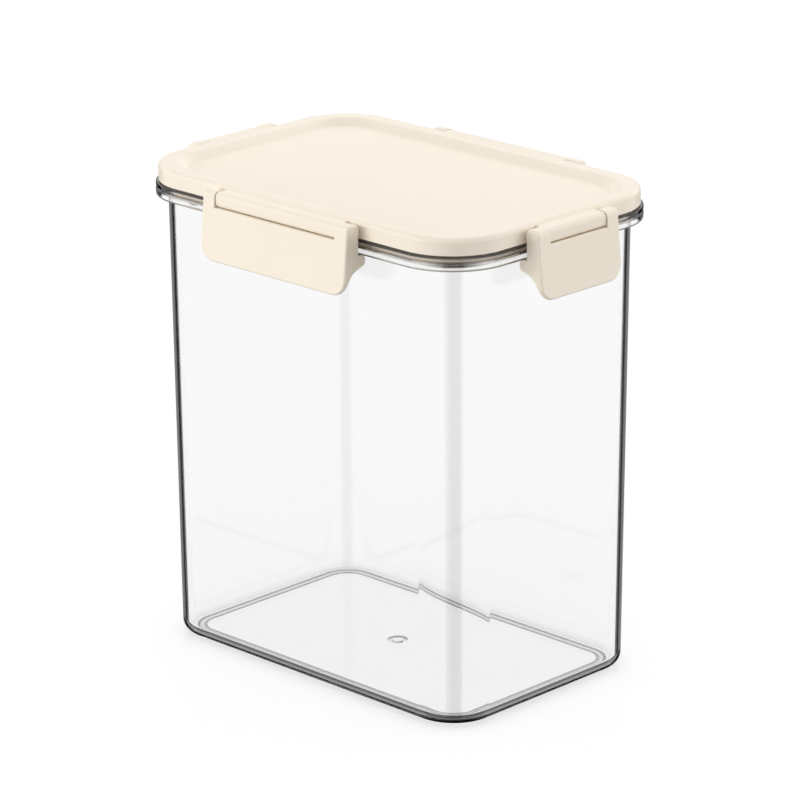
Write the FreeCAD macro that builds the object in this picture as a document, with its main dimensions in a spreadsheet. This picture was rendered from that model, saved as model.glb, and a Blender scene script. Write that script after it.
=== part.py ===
import FreeCAD, Part
import math
import os
import Sketcher

# A tall clear canister with a cream lid that four hinged latches hold down.
# Origin at the centre of the underside, X along the long side, Y along the short side, Z up.
# The front latch faces -Y and the right latch faces +X. All sizes are in millimetres.

DIMENSIONS = [
    # Heights above the table
    ("total_height", 181.0, "top of the lid's raised rim"),
    ("flange_bottom", 169.3, "underside of the flange lip, where the hooks hold"),
    ("flange_top", 174.4, "top of the flange"),
    ("skirt_bottom", 174.8, "lower edge of the lid's skirt"),
    ("mouth_top", 176.6, "top edge of the mouth"),
    ("hinge_height", 177.3, "axis of the four hinge bars"),
    # Canister body
    ("flange_length", 163.2, "flange along X"),
    ("flange_width", 110.8, "flange along Y"),
    ("flange_corner", 23.9, "corner radius of the flange in plan"),
    ("flange_overhang", 4.45, "flange beyond the wall at the mouth"),
    ("flange_plate", 2.1, "thickness of the flange's upper bead"),
    ("flange_lip", 1.9, "thickness of the hanging lip"),
    ("bead_groove", 0.6, "depth and half height of the groove between the two beads"),
    ("bead_round", 0.7, "rounding of the beads"),
    ("draft_inset", 1.9, "how far each wall leans in from mouth to base"),
    ("wall", 2.0, "wall thickness"),
    ("floor_top", 2.6, "inside of the floor"),
    ("base_round", 4.2, "rounding of the base's outer edge"),
    ("floor_round", 3.0, "rounding inside, between wall and floor"),
    ("foot_inset", 6.5, "wall to the outer edge of the foot ring"),
    ("foot_width", 2.6, "width of the foot ring"),
    ("foot_height", 0.55, "underside above the table, which the foot ring fills"),
    ("foot_round", 0.25, "rounding of the foot ring"),
    ("gate_diameter", 7.8, "round moulding mark under the floor"),
    ("gate_depth", 0.7, "depth of that mark"),
    ("gate_nub", 3.9, "nub in the middle of the mark"),
    ("mouth_round", 0.5, "rounding of the mouth's edges"),
    # Lid
    ("lid_inset", 1.05, "lid skirt inside the flange's edge"),
    ("skirt_wall", 2.0, "thickness of the skirt"),
    ("lid_round", 1.8, "rounding of the lid's outer top edge"),
    ("rim_width", 6.9, "raised rim from the skirt to its inner edge"),
    ("rim_slope", 3.4, "run of the slope down to the panel"),
    ("panel_depth", 2.5, "panel below the raised rim"),
    ("panel_thickness", 2.0, "thickness of the panel"),
    ("panel_round", 2.0, "rounding at the top and foot of the slope"),
    ("channel_roof", 179.0, "roof of the channel that holds the seal"),
    ("plug_gap", 0.4, "plug wall to the inside of the mouth"),
    ("plug_wall", 1.8, "thickness of the plug wall"),
    ("plug_bottom", 169.6, "lower edge of the plug wall"),
    # Hinges
    ("hinge_offset", 3.65, "hinge axis out from the skirt"),
    ("bar_radius", 2.75, "axis to the top, front and underside of a hinge bar"),
    ("bar_round", 1.8, "rounding of a hinge bar's front edges"),
    ("web_below", 0.6, "underside of the bar's web below the axis"),
    ("bore_radius", 1.26, "bore in each end of a hinge bar"),
    ("bore_depth", 3.2, "depth of that bore"),
    ("peg_radius", 1.2, "peg on each ear of a latch"),
    ("peg_length", 2.9, "length of that peg"),
    ("end_gap", 0.3, "ear to the end of the hinge bar"),
    # Latches
    ("wide_latch", 72.0, "latch on a long side"),
    ("narrow_latch", 41.2, "latch on a short side"),
    ("ear_width", 5.9, "ear at each end of a latch"),
    ("ear_radius", 2.95, "axis to the back of an ear"),
    ("ear_top", 3.0, "axis to the top of an ear"),
    ("ear_round", 2.2, "rounding of an ear's front edge"),
    ("face_offset", 3.35, "axis out to the outer face, level with the axis"),
    ("flare", 0.09, "how far the outer face leans out for each millimetre down"),
    ("latch_drop", 22.0, "axis to the lower edge"),
    ("plate", 1.6, "thickness of the latch's plate"),
    ("lip", 1.3, "thickness of the finger lip at its lower edge"),
    ("slot_drop", 2.7, "axis to the slot's lower edge"),
    ("slot_round", 0.4, "rounding of the slot's lower edge"),
    ("end_wall", 2.2, "wall at each end of the latch"),
    ("flange_gap", 0.5, "end wall to the flange's edge"),
    ("hook_gap", 0.3, "hook below the flange lip"),
    ("hook_reach", 5.4, "axis to the tip of the hook"),
    ("hook_tip", 3.6, "height of the hook at its tip"),
    ("hook_round", 1.6, "rounding of the hook's tip"),
    ("scoop_out", 2.3, "axis out to the corner of the scoop behind the finger lip"),
    ("scoop_drop", 14.4, "axis down to that corner"),
    ("scoop_round", 7.5, "rounding of the scoop"),
    ("lip_corner", 6.0, "lower corners of a latch"),
    ("latch_round", 0.8, "rounding of a latch's outer edges"),
    # Seal
    ("seal_gap", 0.1, "seal to the sides of its channel"),
    ("seal_lip", 0.9, "thickness of the wiping lip"),
    ("seal_drop", 1.0, "wiping lip below the seal's face"),
    ("seal_round", 0.35, "rounding of the seal"),
]


class Size:
    """A length together with the sheet formula that gives it."""

    def __init__(self, value, formula):
        self.value = value
        self.formula = formula

    def __add__(self, other):
        other = as_size(other)
        return Size(self.value + other.value, f"({self.formula} + {other.formula})")

    def __sub__(self, other):
        other = as_size(other)
        return Size(self.value - other.value, f"({self.formula} - {other.formula})")

    def __mul__(self, factor):
        factor = as_size(factor)
        return Size(self.value * factor.value, f"({self.formula} * {factor.formula})")

    def __truediv__(self, divisor):
        divisor = as_size(divisor)
        return Size(self.value / divisor.value, f"({self.formula} / {divisor.formula})")

    def __neg__(self):
        return Size(-self.value, f"(-{self.formula})")


def as_size(length):
    """The length itself if it is a Size, or else a plain number as one."""
    if isinstance(length, Size):
        return length
    return Size(float(length), repr(float(length)))


doc = FreeCAD.newDocument("food_canister")
sheet = doc.addObject("Spreadsheet::Sheet", "Dimensions")
for row, (alias, value, meaning) in enumerate(DIMENSIONS, start=1):
    sheet.set(f"A{row}", meaning)
    sheet.set(f"B{row}", str(value))
    sheet.setAlias(f"B{row}", alias)
doc.recompute()

dim = {alias: Size(value, f"Dimensions.{alias}") for alias, value, meaning in DIMENSIONS}


# Sketches

def add_body(label):
    """A new body with its own label."""
    body = doc.addObject("PartDesign::Body", label)
    body.Label = label
    return body


def add_sketch(body, name, role, height=0.0):
    """A sketch on one of the body's own origin planes, raised by a height along the plane's normal."""
    height = as_size(height)
    sketch = body.newObject("Sketcher::SketchObject", name)
    plane = [feature for feature in body.Origin.OriginFeatures if feature.Role == role][0]
    sketch.AttachmentSupport = [(plane, "")]
    sketch.MapMode = "FlatFace"
    sketch.setExpression("AttachmentOffset.Base.z", height.formula)
    return sketch


def bind(sketch, constraint, size):
    """Add one dimension to a sketch and tie it to its formula."""
    index = sketch.addConstraint(constraint)
    sketch.setExpression(f"Constraints[{index}]", size.formula)


def corner_ends(before, corner, after, radius):
    """Where a rounding starts and ends on the two sides of a corner, and its centre."""
    into = (before - corner).normalize()
    out = (after - corner).normalize()
    half_angle = math.acos(max(-1.0, min(1.0, into.dot(out)))) / 2
    setback = radius / math.tan(half_angle)
    middle = (into + out).normalize()
    centre = corner + middle * (radius / math.sin(half_angle))
    return corner + into * setback, corner + out * setback, centre


def add_outline(sketch, corners):
    """A closed outline given by its corners, each (x, y) or (x, y, rounding radius)."""
    corners = [tuple(as_size(size) for size in corner) for corner in corners]
    points = [FreeCAD.Vector(corner[0].value, corner[1].value, 0) for corner in corners]
    count = len(points)
    starts, ends, arcs = [], [], []
    for number, corner in enumerate(corners):
        if len(corner) == 2:
            starts.append(points[number])
            ends.append(points[number])
            arcs.append(None)
            continue
        before = points[number - 1]
        after = points[(number + 1) % count]
        start, end, centre = corner_ends(before, points[number], after, corner[2].value)
        starts.append(start)
        ends.append(end)
        arcs.append(centre)

    marks = []
    for number, corner in enumerate(corners):
        mark = sketch.addGeometry(Part.Point(points[number]), True)
        bind(sketch, Sketcher.Constraint("DistanceX", -1, 1, mark, 1, points[number].x), corner[0])
        bind(sketch, Sketcher.Constraint("DistanceY", -1, 1, mark, 1, points[number].y), corner[1])
        marks.append(mark)
    lines = []
    for number in range(count):
        line = Part.LineSegment(ends[number], starts[(number + 1) % count])
        lines.append(sketch.addGeometry(line, False))
    for number, corner in enumerate(corners):
        line_in = lines[number - 1]
        line_out = lines[number]
        if arcs[number] is None:
            sketch.addConstraint(Sketcher.Constraint("Coincident", line_in, 2, marks[number], 1))
            sketch.addConstraint(Sketcher.Constraint("Coincident", line_out, 1, marks[number], 1))
            continue
        start = starts[number] - arcs[number]
        end = ends[number] - arcs[number]
        start_angle = math.atan2(start.y, start.x)
        end_angle = math.atan2(end.y, end.x)
        turns_left = start.cross(end).z > 0
        circle = Part.Circle(arcs[number], FreeCAD.Vector(0, 0, 1), corner[2].value)
        if turns_left:
            arc = sketch.addGeometry(Part.ArcOfCircle(circle, start_angle, end_angle), False)
        else:
            arc = sketch.addGeometry(Part.ArcOfCircle(circle, end_angle, start_angle), False)
        first, last = (1, 2) if turns_left else (2, 1)
        sketch.addConstraint(Sketcher.Constraint("Tangent", line_in, 2, arc, first))
        sketch.addConstraint(Sketcher.Constraint("Tangent", arc, last, line_out, 1))
        sketch.addConstraint(Sketcher.Constraint("PointOnObject", marks[number], 1, line_in))
        sketch.addConstraint(Sketcher.Constraint("PointOnObject", marks[number], 1, line_out))
        bind(sketch, Sketcher.Constraint("Radius", arc, corner[2].value), corner[2])


def add_rounded_rectangle(sketch, half_length, half_width, radius):
    """A rounded rectangle about the origin, begun in the middle of its +X side."""
    add_outline(sketch, [
        (half_length, 0.0),
        (half_length, half_width, radius),
        (-half_length, half_width, radius),
        (-half_length, -half_width, radius),
        (half_length, -half_width, radius),
    ])


def add_circle(sketch, x, y, radius):
    """A circle tied to its centre and radius."""
    x, y = as_size(x), as_size(y)
    circle = Part.Circle(FreeCAD.Vector(x.value, y.value, 0), FreeCAD.Vector(0, 0, 1), radius.value)
    index = sketch.addGeometry(circle, False)
    bind(sketch, Sketcher.Constraint("DistanceX", -1, 1, index, 3, x.value), x)
    bind(sketch, Sketcher.Constraint("DistanceY", -1, 1, index, 3, y.value), y)
    bind(sketch, Sketcher.Constraint("Radius", index, radius.value), radius)


# Features

def add_extrusion(body, kind, name, sketch, length, symmetric=False, upward=True):
    """A Pad or a Pocket of a sketch; upward is along the sketch's normal."""
    feature = body.newObject(f"PartDesign::{kind}", name)
    feature.Profile = sketch
    feature.SideType = "Symmetric" if symmetric else "One side"
    feature.Reversed = upward == (kind == "Pocket")
    feature.setExpression("Length", length.formula)
    doc.recompute()
    return feature


def add_loft(body, kind, name, lower, upper):
    """A straight loft between two sketches, added or taken away."""
    feature = body.newObject(f"PartDesign::{kind}", name)
    feature.Profile = lower
    feature.Sections = [upper]
    feature.Ruled = True
    doc.recompute()
    return feature


def add_sweep(body, name, profile, path):
    """A profile carried round a closed path."""
    feature = body.newObject("PartDesign::AdditivePipe", name)
    feature.Profile = profile
    feature.Spine = (path, [])
    doc.recompute()
    return feature


def add_fillet(body, name, chosen, radius):
    """Round those edges of the body's tip that chosen says yes to."""
    base = body.Tip
    edges = [f"Edge{number}" for number, edge in enumerate(base.Shape.Edges, start=1) if chosen(edge)]
    fillet = body.newObject("PartDesign::Fillet", name)
    fillet.Base = (base, edges)
    fillet.setExpression("Radius", radius.formula)
    doc.recompute()
    return fillet


def level_edge(height, reach=None):
    """A test for edges that lie at one height, and within a reach along X and Y where one is given."""
    def chosen(edge):
        box = edge.BoundBox
        if abs(box.ZMin - height.value) > 0.001 or abs(box.ZMax - height.value) > 0.001:
            return False
        if reach is None:
            return True
        middle = edge.valueAt((edge.FirstParameter + edge.LastParameter) / 2)
        return abs(middle.x) < reach[0] and abs(middle.y) < reach[1]
    return chosen


# Plan outlines, all offset from the flange so that their corners stay concentric

def plan_outline(sketch, inset):
    """The flange's plan outline, moved inwards."""
    inset = as_size(inset)
    half_length = dim["flange_length"] / 2 - inset
    half_width = dim["flange_width"] / 2 - inset
    add_rounded_rectangle(sketch, half_length, half_width, dim["flange_corner"] - inset)


def plan_sketch(body, name, height, *insets):
    """A level sketch with one such outline for each inset."""
    sketch = add_sketch(body, name, "XY_Plane", height)
    for inset in insets:
        plan_outline(sketch, inset)
    return sketch


mouth_inset = dim["flange_overhang"]
base_inset = mouth_inset + dim["draft_inset"]
floor_inset = base_inset + dim["wall"] - dim["draft_inset"] * dim["floor_top"] / dim["mouth_top"]
lid_inset = dim["lid_inset"]
plug_inset = mouth_inset + dim["wall"] + dim["plug_gap"]
panel_height = dim["total_height"] - dim["panel_depth"]


# Canister body

body = add_body("canister_body")
outer_base = plan_sketch(body, "outer_base", dim["foot_height"], base_inset)
outer_mouth = plan_sketch(body, "outer_mouth", dim["mouth_top"], mouth_inset)
add_loft(body, "AdditiveLoft", "outer_wall", outer_base, outer_mouth)
add_fillet(body, "base_edge", level_edge(dim["foot_height"]), dim["base_round"])

inner_floor = plan_sketch(body, "inner_floor", dim["floor_top"], floor_inset)
inner_mouth = plan_sketch(body, "inner_mouth", dim["mouth_top"], mouth_inset + dim["wall"])
add_loft(body, "SubtractiveLoft", "food_space", inner_floor, inner_mouth)
add_fillet(body, "floor_edge", level_edge(dim["floor_top"]), dim["floor_round"])
add_fillet(body, "mouth_edge", level_edge(dim["mouth_top"]), dim["mouth_round"])

# The flange is a plate with a hanging lip, and its edge shows two rounded beads with a groove between.
flange_path = plan_sketch(body, "flange_path", dim["flange_top"], mouth_inset)
flange_profile = add_sketch(body, "flange_profile", "XZ_Plane")
flange_edge = dim["flange_length"] / 2
lip_inner = flange_edge - dim["flange_lip"]
plate_bottom = dim["flange_top"] - dim["flange_plate"]
groove_edge = flange_edge - dim["bead_groove"]
root = flange_edge - mouth_inset - dim["wall"] / 2
add_outline(flange_profile, [
    (root, dim["flange_top"]),
    (root, plate_bottom),
    (lip_inner, plate_bottom),
    (lip_inner, dim["flange_bottom"], dim["bead_round"]),
    (flange_edge, dim["flange_bottom"], dim["bead_round"]),
    (flange_edge, plate_bottom - dim["bead_groove"], dim["bead_round"]),
    (groove_edge, plate_bottom),
    (flange_edge, plate_bottom + dim["bead_groove"], dim["bead_round"]),
    (flange_edge, dim["flange_top"], dim["bead_round"]),
])
add_sweep(body, "flange", flange_profile, flange_path)

# The underside stands on a narrow foot ring and has a round moulding mark in its middle.
foot_outer = base_inset + dim["foot_inset"]
foot_sketch = plan_sketch(body, "foot_outline", 0.0, foot_outer, foot_outer + dim["foot_width"])
add_extrusion(body, "Pad", "foot_ring", foot_sketch, dim["foot_height"])
add_fillet(body, "foot_edge", level_edge(as_size(0.0)), dim["foot_round"])
gate_sketch = add_sketch(body, "gate_outline", "XY_Plane", dim["foot_height"])
add_circle(gate_sketch, 0.0, 0.0, dim["gate_diameter"] / 2)
add_circle(gate_sketch, 0.0, 0.0, dim["gate_nub"] / 2)
add_extrusion(body, "Pocket", "gate_mark", gate_sketch, dim["gate_depth"])
canister_body = body


# Lid

body = add_body("lid")
skirt_sketch = plan_sketch(body, "skirt_outline", dim["skirt_bottom"], lid_inset)
add_extrusion(body, "Pad", "lid_block", skirt_sketch, dim["total_height"] - dim["skirt_bottom"])
add_fillet(body, "lid_edge", level_edge(dim["total_height"]), dim["lid_round"])

rim_inset = lid_inset + dim["rim_width"]
panel_low = plan_sketch(body, "panel_foot", panel_height, rim_inset + dim["rim_slope"])
panel_high = plan_sketch(body, "panel_brim", dim["total_height"], rim_inset)
add_loft(body, "SubtractiveLoft", "sunk_panel", panel_low, panel_high)
add_fillet(body, "panel_foot_round", level_edge(panel_height), dim["panel_round"])
rim_reach = (
    (dim["flange_length"] / 2 - lid_inset - dim["lid_round"]).value - 0.5,
    (dim["flange_width"] / 2 - lid_inset - dim["lid_round"]).value - 0.5,
)
add_fillet(body, "panel_brim_round", level_edge(dim["total_height"], rim_reach), dim["panel_round"])

# Under the rim a channel takes the seal and the mouth; the plug wall stands inside the mouth.
skirt_inner = lid_inset + dim["skirt_wall"]
channel_sketch = plan_sketch(body, "channel_outline", dim["skirt_bottom"], skirt_inner, plug_inset)
add_extrusion(body, "Pocket", "seal_channel", channel_sketch, dim["channel_roof"] - dim["skirt_bottom"])
plug_inner = plug_inset + dim["plug_wall"]
hollow_sketch = plan_sketch(body, "hollow_outline", dim["skirt_bottom"], plug_inner)
panel_under = panel_height - dim["panel_thickness"]
add_extrusion(body, "Pocket", "lid_hollow", hollow_sketch, panel_under - dim["skirt_bottom"])
plug_sketch = plan_sketch(body, "plug_outline", dim["plug_bottom"], plug_inset, plug_inner)
add_extrusion(body, "Pad", "plug", plug_sketch, dim["skirt_bottom"] - dim["plug_bottom"])


def add_hinge_bar(side, plane, outward, half_size, latch_length):
    """A bored hinge bar on its web, along one side of the lid; outward is +1 or -1 along the plane."""
    axis = (half_size - lid_inset + dim["hinge_offset"]) * outward
    radius = dim["bar_radius"]
    web_end = axis - (dim["hinge_offset"] + dim["skirt_wall"] / 2) * outward
    crown = axis + radius * outward
    length = latch_length - (dim["ear_width"] + dim["end_gap"]) * 2
    height = dim["hinge_height"]
    sketch = add_sketch(body, f"bar_outline_{side}", plane)
    add_outline(sketch, [
        (web_end, height + radius),
        (crown, height + radius, dim["bar_round"]),
        (crown, height - radius, dim["bar_round"]),
        (axis - radius * outward, height - radius, radius * 0.7),
        (axis - radius * outward, height - dim["web_below"]),
        (web_end, height - dim["web_below"]),
    ])
    add_circle(sketch, axis, height, dim["bore_radius"])
    add_extrusion(body, "Pad", f"hinge_bar_{side}", sketch, length, symmetric=True)
    core = add_sketch(body, f"bar_core_outline_{side}", plane)
    add_circle(core, axis, height, dim["bore_radius"])
    add_extrusion(body, "Pad", f"bar_core_{side}", core, length - dim["bore_depth"] * 2, symmetric=True)


half_length = dim["flange_length"] / 2
half_width = dim["flange_width"] / 2
add_hinge_bar("front", "YZ_Plane", -1.0, half_width, dim["wide_latch"])
add_hinge_bar("back", "YZ_Plane", 1.0, half_width, dim["wide_latch"])
add_hinge_bar("left", "XZ_Plane", -1.0, half_length, dim["narrow_latch"])
add_hinge_bar("right", "XZ_Plane", 1.0, half_length, dim["narrow_latch"])
lid = body


# Seal, a soft ring in the lid's channel with a wiping lip outside the mouth

body = add_body("seal_gasket")
seal_path = plan_sketch(body, "seal_path", dim["channel_roof"], mouth_inset)
seal_profile = add_sketch(body, "seal_profile", "XZ_Plane")
seal_inner = half_length - plug_inset + dim["seal_gap"]
seal_outer = half_length - skirt_inner - dim["seal_gap"]
lip_side = seal_outer - dim["seal_lip"]
lip_end = dim["mouth_top"] - dim["seal_drop"]
add_outline(seal_profile, [
    (seal_inner, dim["channel_roof"]),
    (seal_inner, dim["mouth_top"], dim["seal_round"]),
    (lip_side, dim["mouth_top"]),
    (lip_side, lip_end, dim["seal_round"]),
    (seal_outer, lip_end, dim["seal_round"]),
    (seal_outer, dim["channel_roof"]),
])
add_sweep(body, "seal_ring", seal_profile, seal_path)
seal_gasket = body


# Latches, each drawn about its own hinge axis with its outer face towards +Y

def face_out(drop):
    """How far out of the axis the leaning outer face is, at a drop below it."""
    return dim["face_offset"] + dim["flare"] * drop


def make_latch(label, length, turn, offset_name, offset):
    """One latch of a given length, turned about Z and moved out to its hinge bar."""
    latch = add_body(label)
    ear = dim["ear_radius"]
    wall_inner = -(dim["hinge_offset"] - lid_inset - dim["flange_gap"])
    hook_top = dim["flange_bottom"] - dim["hook_gap"] - dim["hinge_height"]
    lip_out = face_out(dim["latch_drop"])
    profile = add_sketch(latch, f"{label}_profile", "YZ_Plane")
    add_outline(profile, [
        (lip_out, -dim["latch_drop"]),
        (face_out(-dim["ear_top"]), dim["ear_top"], dim["ear_round"]),
        (-ear, dim["ear_top"], ear * 0.88),
        (-ear, -ear / 3, ear / 2),
        (wall_inner, -ear * 1.3),
        (wall_inner, hook_top),
        (-dim["hook_reach"], hook_top, dim["hook_round"]),
        (-dim["hook_reach"], hook_top - dim["hook_tip"], dim["hook_round"]),
        (dim["scoop_out"], -dim["scoop_drop"], dim["scoop_round"]),
        (lip_out - dim["lip"], -dim["latch_drop"]),
    ])
    add_extrusion(latch, "Pad", f"{label}_block", profile, length, symmetric=True)

    # The lower corners are rounded as seen from outside.
    half = length / 2
    trim = add_sketch(latch, f"{label}_trim", "XZ_Plane")
    over = ear * 2
    bottom = -dim["latch_drop"]
    add_outline(trim, [
        (half + over, over),
        (-half - over, over),
        (-half - over, bottom - over),
        (half + over, bottom - over),
    ])
    add_outline(trim, [
        (half, ear * 1.5),
        (-half, ear * 1.5),
        (-half, bottom, dim["lip_corner"]),
        (half, bottom, dim["lip_corner"]),
    ])
    add_extrusion(latch, "Pocket", f"{label}_corners", trim, ear * 6, symmetric=True)

    # The hinge bar lies in a slot between the ears.
    slot_half = half - dim["ear_width"]
    slot = add_sketch(latch, f"{label}_slot_outline", "XZ_Plane")
    add_outline(slot, [
        (slot_half, over),
        (-slot_half, over),
        (-slot_half, -dim["slot_drop"]),
        (slot_half, -dim["slot_drop"]),
    ])
    add_extrusion(latch, "Pocket", f"{label}_slot", slot, ear * 6, symmetric=True)

    # Behind the plate the latch is hollow between its end walls, down to the hook.
    hollow = add_sketch(latch, f"{label}_hollow_outline", "YZ_Plane")
    add_outline(hollow, [
        (face_out(dim["slot_drop"]) - dim["plate"], -dim["slot_drop"]),
        (face_out(-hook_top) - dim["plate"], hook_top),
        (wall_inner - ear, hook_top),
        (wall_inner - ear, -dim["slot_drop"]),
    ])
    hollow_length = length - dim["end_wall"] * 2
    add_extrusion(latch, "Pocket", f"{label}_hollow", hollow, hollow_length, symmetric=True)

    # Two pegs reach from the ears into the ends of the hinge bar.
    peg = add_sketch(latch, f"{label}_peg_outline", "YZ_Plane")
    add_circle(peg, 0.0, 0.0, dim["peg_radius"])
    add_extrusion(latch, "Pad", f"{label}_pegs", peg, slot_half * 2 + 0.2, symmetric=True)
    gap = add_sketch(latch, f"{label}_peg_gap_outline", "YZ_Plane")
    add_circle(gap, 0.0, 0.0, dim["peg_radius"] * 1.5)
    gap_length = slot_half * 2 - dim["peg_length"] * 2
    add_extrusion(latch, "Pocket", f"{label}_peg_gap", gap, gap_length, symmetric=True)

    def on_face(edge):
        """Whether an edge lies in the leaning outer face."""
        middle = (edge.FirstParameter + edge.LastParameter) / 2
        points = [edge.valueAt(place) for place in (edge.FirstParameter, middle, edge.LastParameter)]
        return all(abs(point.y - face_out(as_size(-point.z)).value) < 0.001 for point in points)

    def in_slot(edge):
        """Whether an edge bounds the slot between the ears."""
        box = edge.BoundBox
        between = max(abs(box.XMin), abs(box.XMax)) < slot_half.value + 0.01
        return between and box.ZMin > -dim["slot_drop"].value - 0.01

    def slot_edge(edge):
        """The lower edge of the slot, on the outer face."""
        return on_face(edge) and in_slot(edge) and edge.BoundBox.XLength > slot_half.value

    def outer_edge(edge):
        """Edges round the outer face, apart from the slot."""
        return on_face(edge) and not in_slot(edge)

    add_fillet(latch, f"{label}_round", outer_edge, dim["latch_round"])
    add_fillet(latch, f"{label}_slot_edge", slot_edge, dim["slot_round"])

    latch.Placement.Rotation = FreeCAD.Rotation(FreeCAD.Vector(0, 0, 1), turn)
    latch.setExpression(f"Placement.Base.{offset_name}", offset.formula)
    latch.setExpression("Placement.Base.z", dim["hinge_height"].formula)
    doc.recompute()
    return latch


hinge_out_x = half_length - lid_inset + dim["hinge_offset"]
hinge_out_y = half_width - lid_inset + dim["hinge_offset"]
latches = [
    make_latch("latch_front", dim["wide_latch"], 180, "y", -hinge_out_y),
    make_latch("latch_back", dim["wide_latch"], 0, "y", hinge_out_y),
    make_latch("latch_left", dim["narrow_latch"], 90, "x", -hinge_out_x),
    make_latch("latch_right", dim["narrow_latch"], -90, "x", hinge_out_x),
]


# Checks before anything is written

doc.recompute()
for item in doc.Objects:
    if "Invalid" in item.State or "Error" in item.State:
        raise RuntimeError(f"{item.Name} failed: {item.State}")
    base = getattr(item, "BaseFeature", None)
    if base is not None and item.TypeId in ("PartDesign::Pocket", "PartDesign::SubtractiveLoft"):
        if item.Shape.Volume > base.Shape.Volume - 0.01:
            raise RuntimeError(f"{item.Name} cuts nothing")

os.makedirs("parts", exist_ok=True)
for piece in [canister_body, lid, seal_gasket] + latches:
    shape = piece.Shape
    if shape.isNull() or not shape.isValid() or len(shape.Solids) != 1:
        raise RuntimeError(f"{piece.Label} is not one valid solid")
    shape.exportStep(f"parts/{piece.Label}.step")
    box = shape.BoundBox
    spans = f"x {box.XMin:.2f} {box.XMax:.2f}, y {box.YMin:.2f} {box.YMax:.2f}, z {box.ZMin:.2f} {box.ZMax:.2f}"
    print(f"{piece.Label}: {shape.Volume / 1000:.2f} cm3, {spans}")
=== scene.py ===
"""Looks of a tall clear food canister with a cream lid, a soft seal and four hinged latches."""

import logging
import math
from dataclasses import dataclass
from enum import Enum
from typing import Sequence

import bpy
from mathutils import Matrix, Vector


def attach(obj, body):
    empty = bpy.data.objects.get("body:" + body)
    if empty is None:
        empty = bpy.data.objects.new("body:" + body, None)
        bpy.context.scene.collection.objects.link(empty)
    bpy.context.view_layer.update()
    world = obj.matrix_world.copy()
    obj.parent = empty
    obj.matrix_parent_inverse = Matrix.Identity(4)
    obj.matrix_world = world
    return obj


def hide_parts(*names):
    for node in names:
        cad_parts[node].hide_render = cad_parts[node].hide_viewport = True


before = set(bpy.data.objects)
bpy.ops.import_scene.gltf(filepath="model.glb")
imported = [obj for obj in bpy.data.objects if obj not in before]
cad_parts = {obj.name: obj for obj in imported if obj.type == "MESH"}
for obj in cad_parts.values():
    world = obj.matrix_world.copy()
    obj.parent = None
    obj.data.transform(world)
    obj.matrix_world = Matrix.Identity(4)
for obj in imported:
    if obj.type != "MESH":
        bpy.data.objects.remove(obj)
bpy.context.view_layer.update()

LOG = logging.getLogger("canister")
MM = 0.001

Triple = tuple[float, float, float]
Span = tuple[float, float]
Quad = tuple[float, float, float, float]


# Node helpers

class Kind(Enum):
    """Socket kinds of a node group."""

    VALUE = "NodeSocketFloat"
    VECTOR = "NodeSocketVector"
    COUNT = "NodeSocketInt"
    GEOMETRY = "NodeSocketGeometry"
    MATERIAL = "NodeSocketMaterial"


def add_node(tree: bpy.types.NodeTree, kind: str, **settings: object) -> bpy.types.Node:
    """Add a node and set its own properties.

    Args:
        tree: the tree that gets the node.
        kind: the node's type name.
        settings: properties of the node, such as operation or data_type.

    Returns:
        The new node.
    """
    node = tree.nodes.new(kind)
    for name, value in settings.items():
        setattr(node, name, value)
    return node


def feed(tree: bpy.types.NodeTree, socket: bpy.types.NodeSocket, value: object) -> None:
    """Give a socket a link or a plain value.

    Args:
        tree: the tree that holds the socket.
        socket: the input that is fed.
        value: an output socket to link, or a value to set.
    """
    if isinstance(value, bpy.types.NodeSocket):
        tree.links.new(value, socket)
    else:
        socket.default_value = value


def maths(tree: bpy.types.NodeTree, operation: str, *inputs: object) -> bpy.types.NodeSocket:
    """Add a Math node fed by sockets or plain numbers.

    Args:
        tree: the tree that gets the node.
        operation: the Math node's operation.
        inputs: a socket or a number for each input.

    Returns:
        The node's output socket.
    """
    node = add_node(tree, "ShaderNodeMath", operation=operation)
    for socket, value in zip(node.inputs, inputs):
        feed(tree, socket, value)
    return node.outputs[0]


def product(tree: bpy.types.NodeTree, first: object, *others: object) -> bpy.types.NodeSocket:
    """Multiply two or more values.

    Args:
        tree: the tree that gets the nodes.
        first: a socket or a number.
        others: the sockets or numbers that multiply it.

    Returns:
        The product.
    """
    result = first
    for other in others:
        result = maths(tree, "MULTIPLY", result, other)
    return result


def apart(tree: bpy.types.NodeTree, first: object, second: object) -> bpy.types.NodeSocket:
    """How far two values lie apart."""
    return maths(tree, "ABSOLUTE", maths(tree, "SUBTRACT", first, second))


def distance(tree: bpy.types.NodeTree, x: bpy.types.NodeSocket,
             y: bpy.types.NodeSocket) -> bpy.types.NodeSocket:
    """Add the nodes for the length of a flat vector.

    Args:
        tree: the tree that gets the nodes.
        x: its first part.
        y: its second part.

    Returns:
        The length.
    """
    flat = add_node(tree, "ShaderNodeCombineXYZ")
    feed(tree, flat.inputs["X"], x)
    feed(tree, flat.inputs["Y"], y)
    length = add_node(tree, "ShaderNodeVectorMath", operation="LENGTH")
    feed(tree, length.inputs[0], flat.outputs[0])
    return length.outputs["Value"]


def remap(tree: bpy.types.NodeTree, value: bpy.types.NodeSocket, span: Sequence[float],
          result: Sequence[float] = (0.0, 1.0), smooth: bool = True) -> bpy.types.NodeSocket:
    """Map a value from one span to another.

    Args:
        tree: the tree that gets the node.
        value: the value to map.
        span: the ends of the span that comes in.
        result: what those ends become.
        smooth: whether the step has soft ends.

    Returns:
        The mapped value.
    """
    node = add_node(tree, "ShaderNodeMapRange", interpolation_type="SMOOTHSTEP" if smooth else "LINEAR")
    names = ("From Min", "From Max", "To Min", "To Max")
    for name, number in zip(names, (*span, *result)):
        node.inputs[name].default_value = number
    feed(tree, node.inputs["Value"], value)
    return node.outputs[0]


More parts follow.
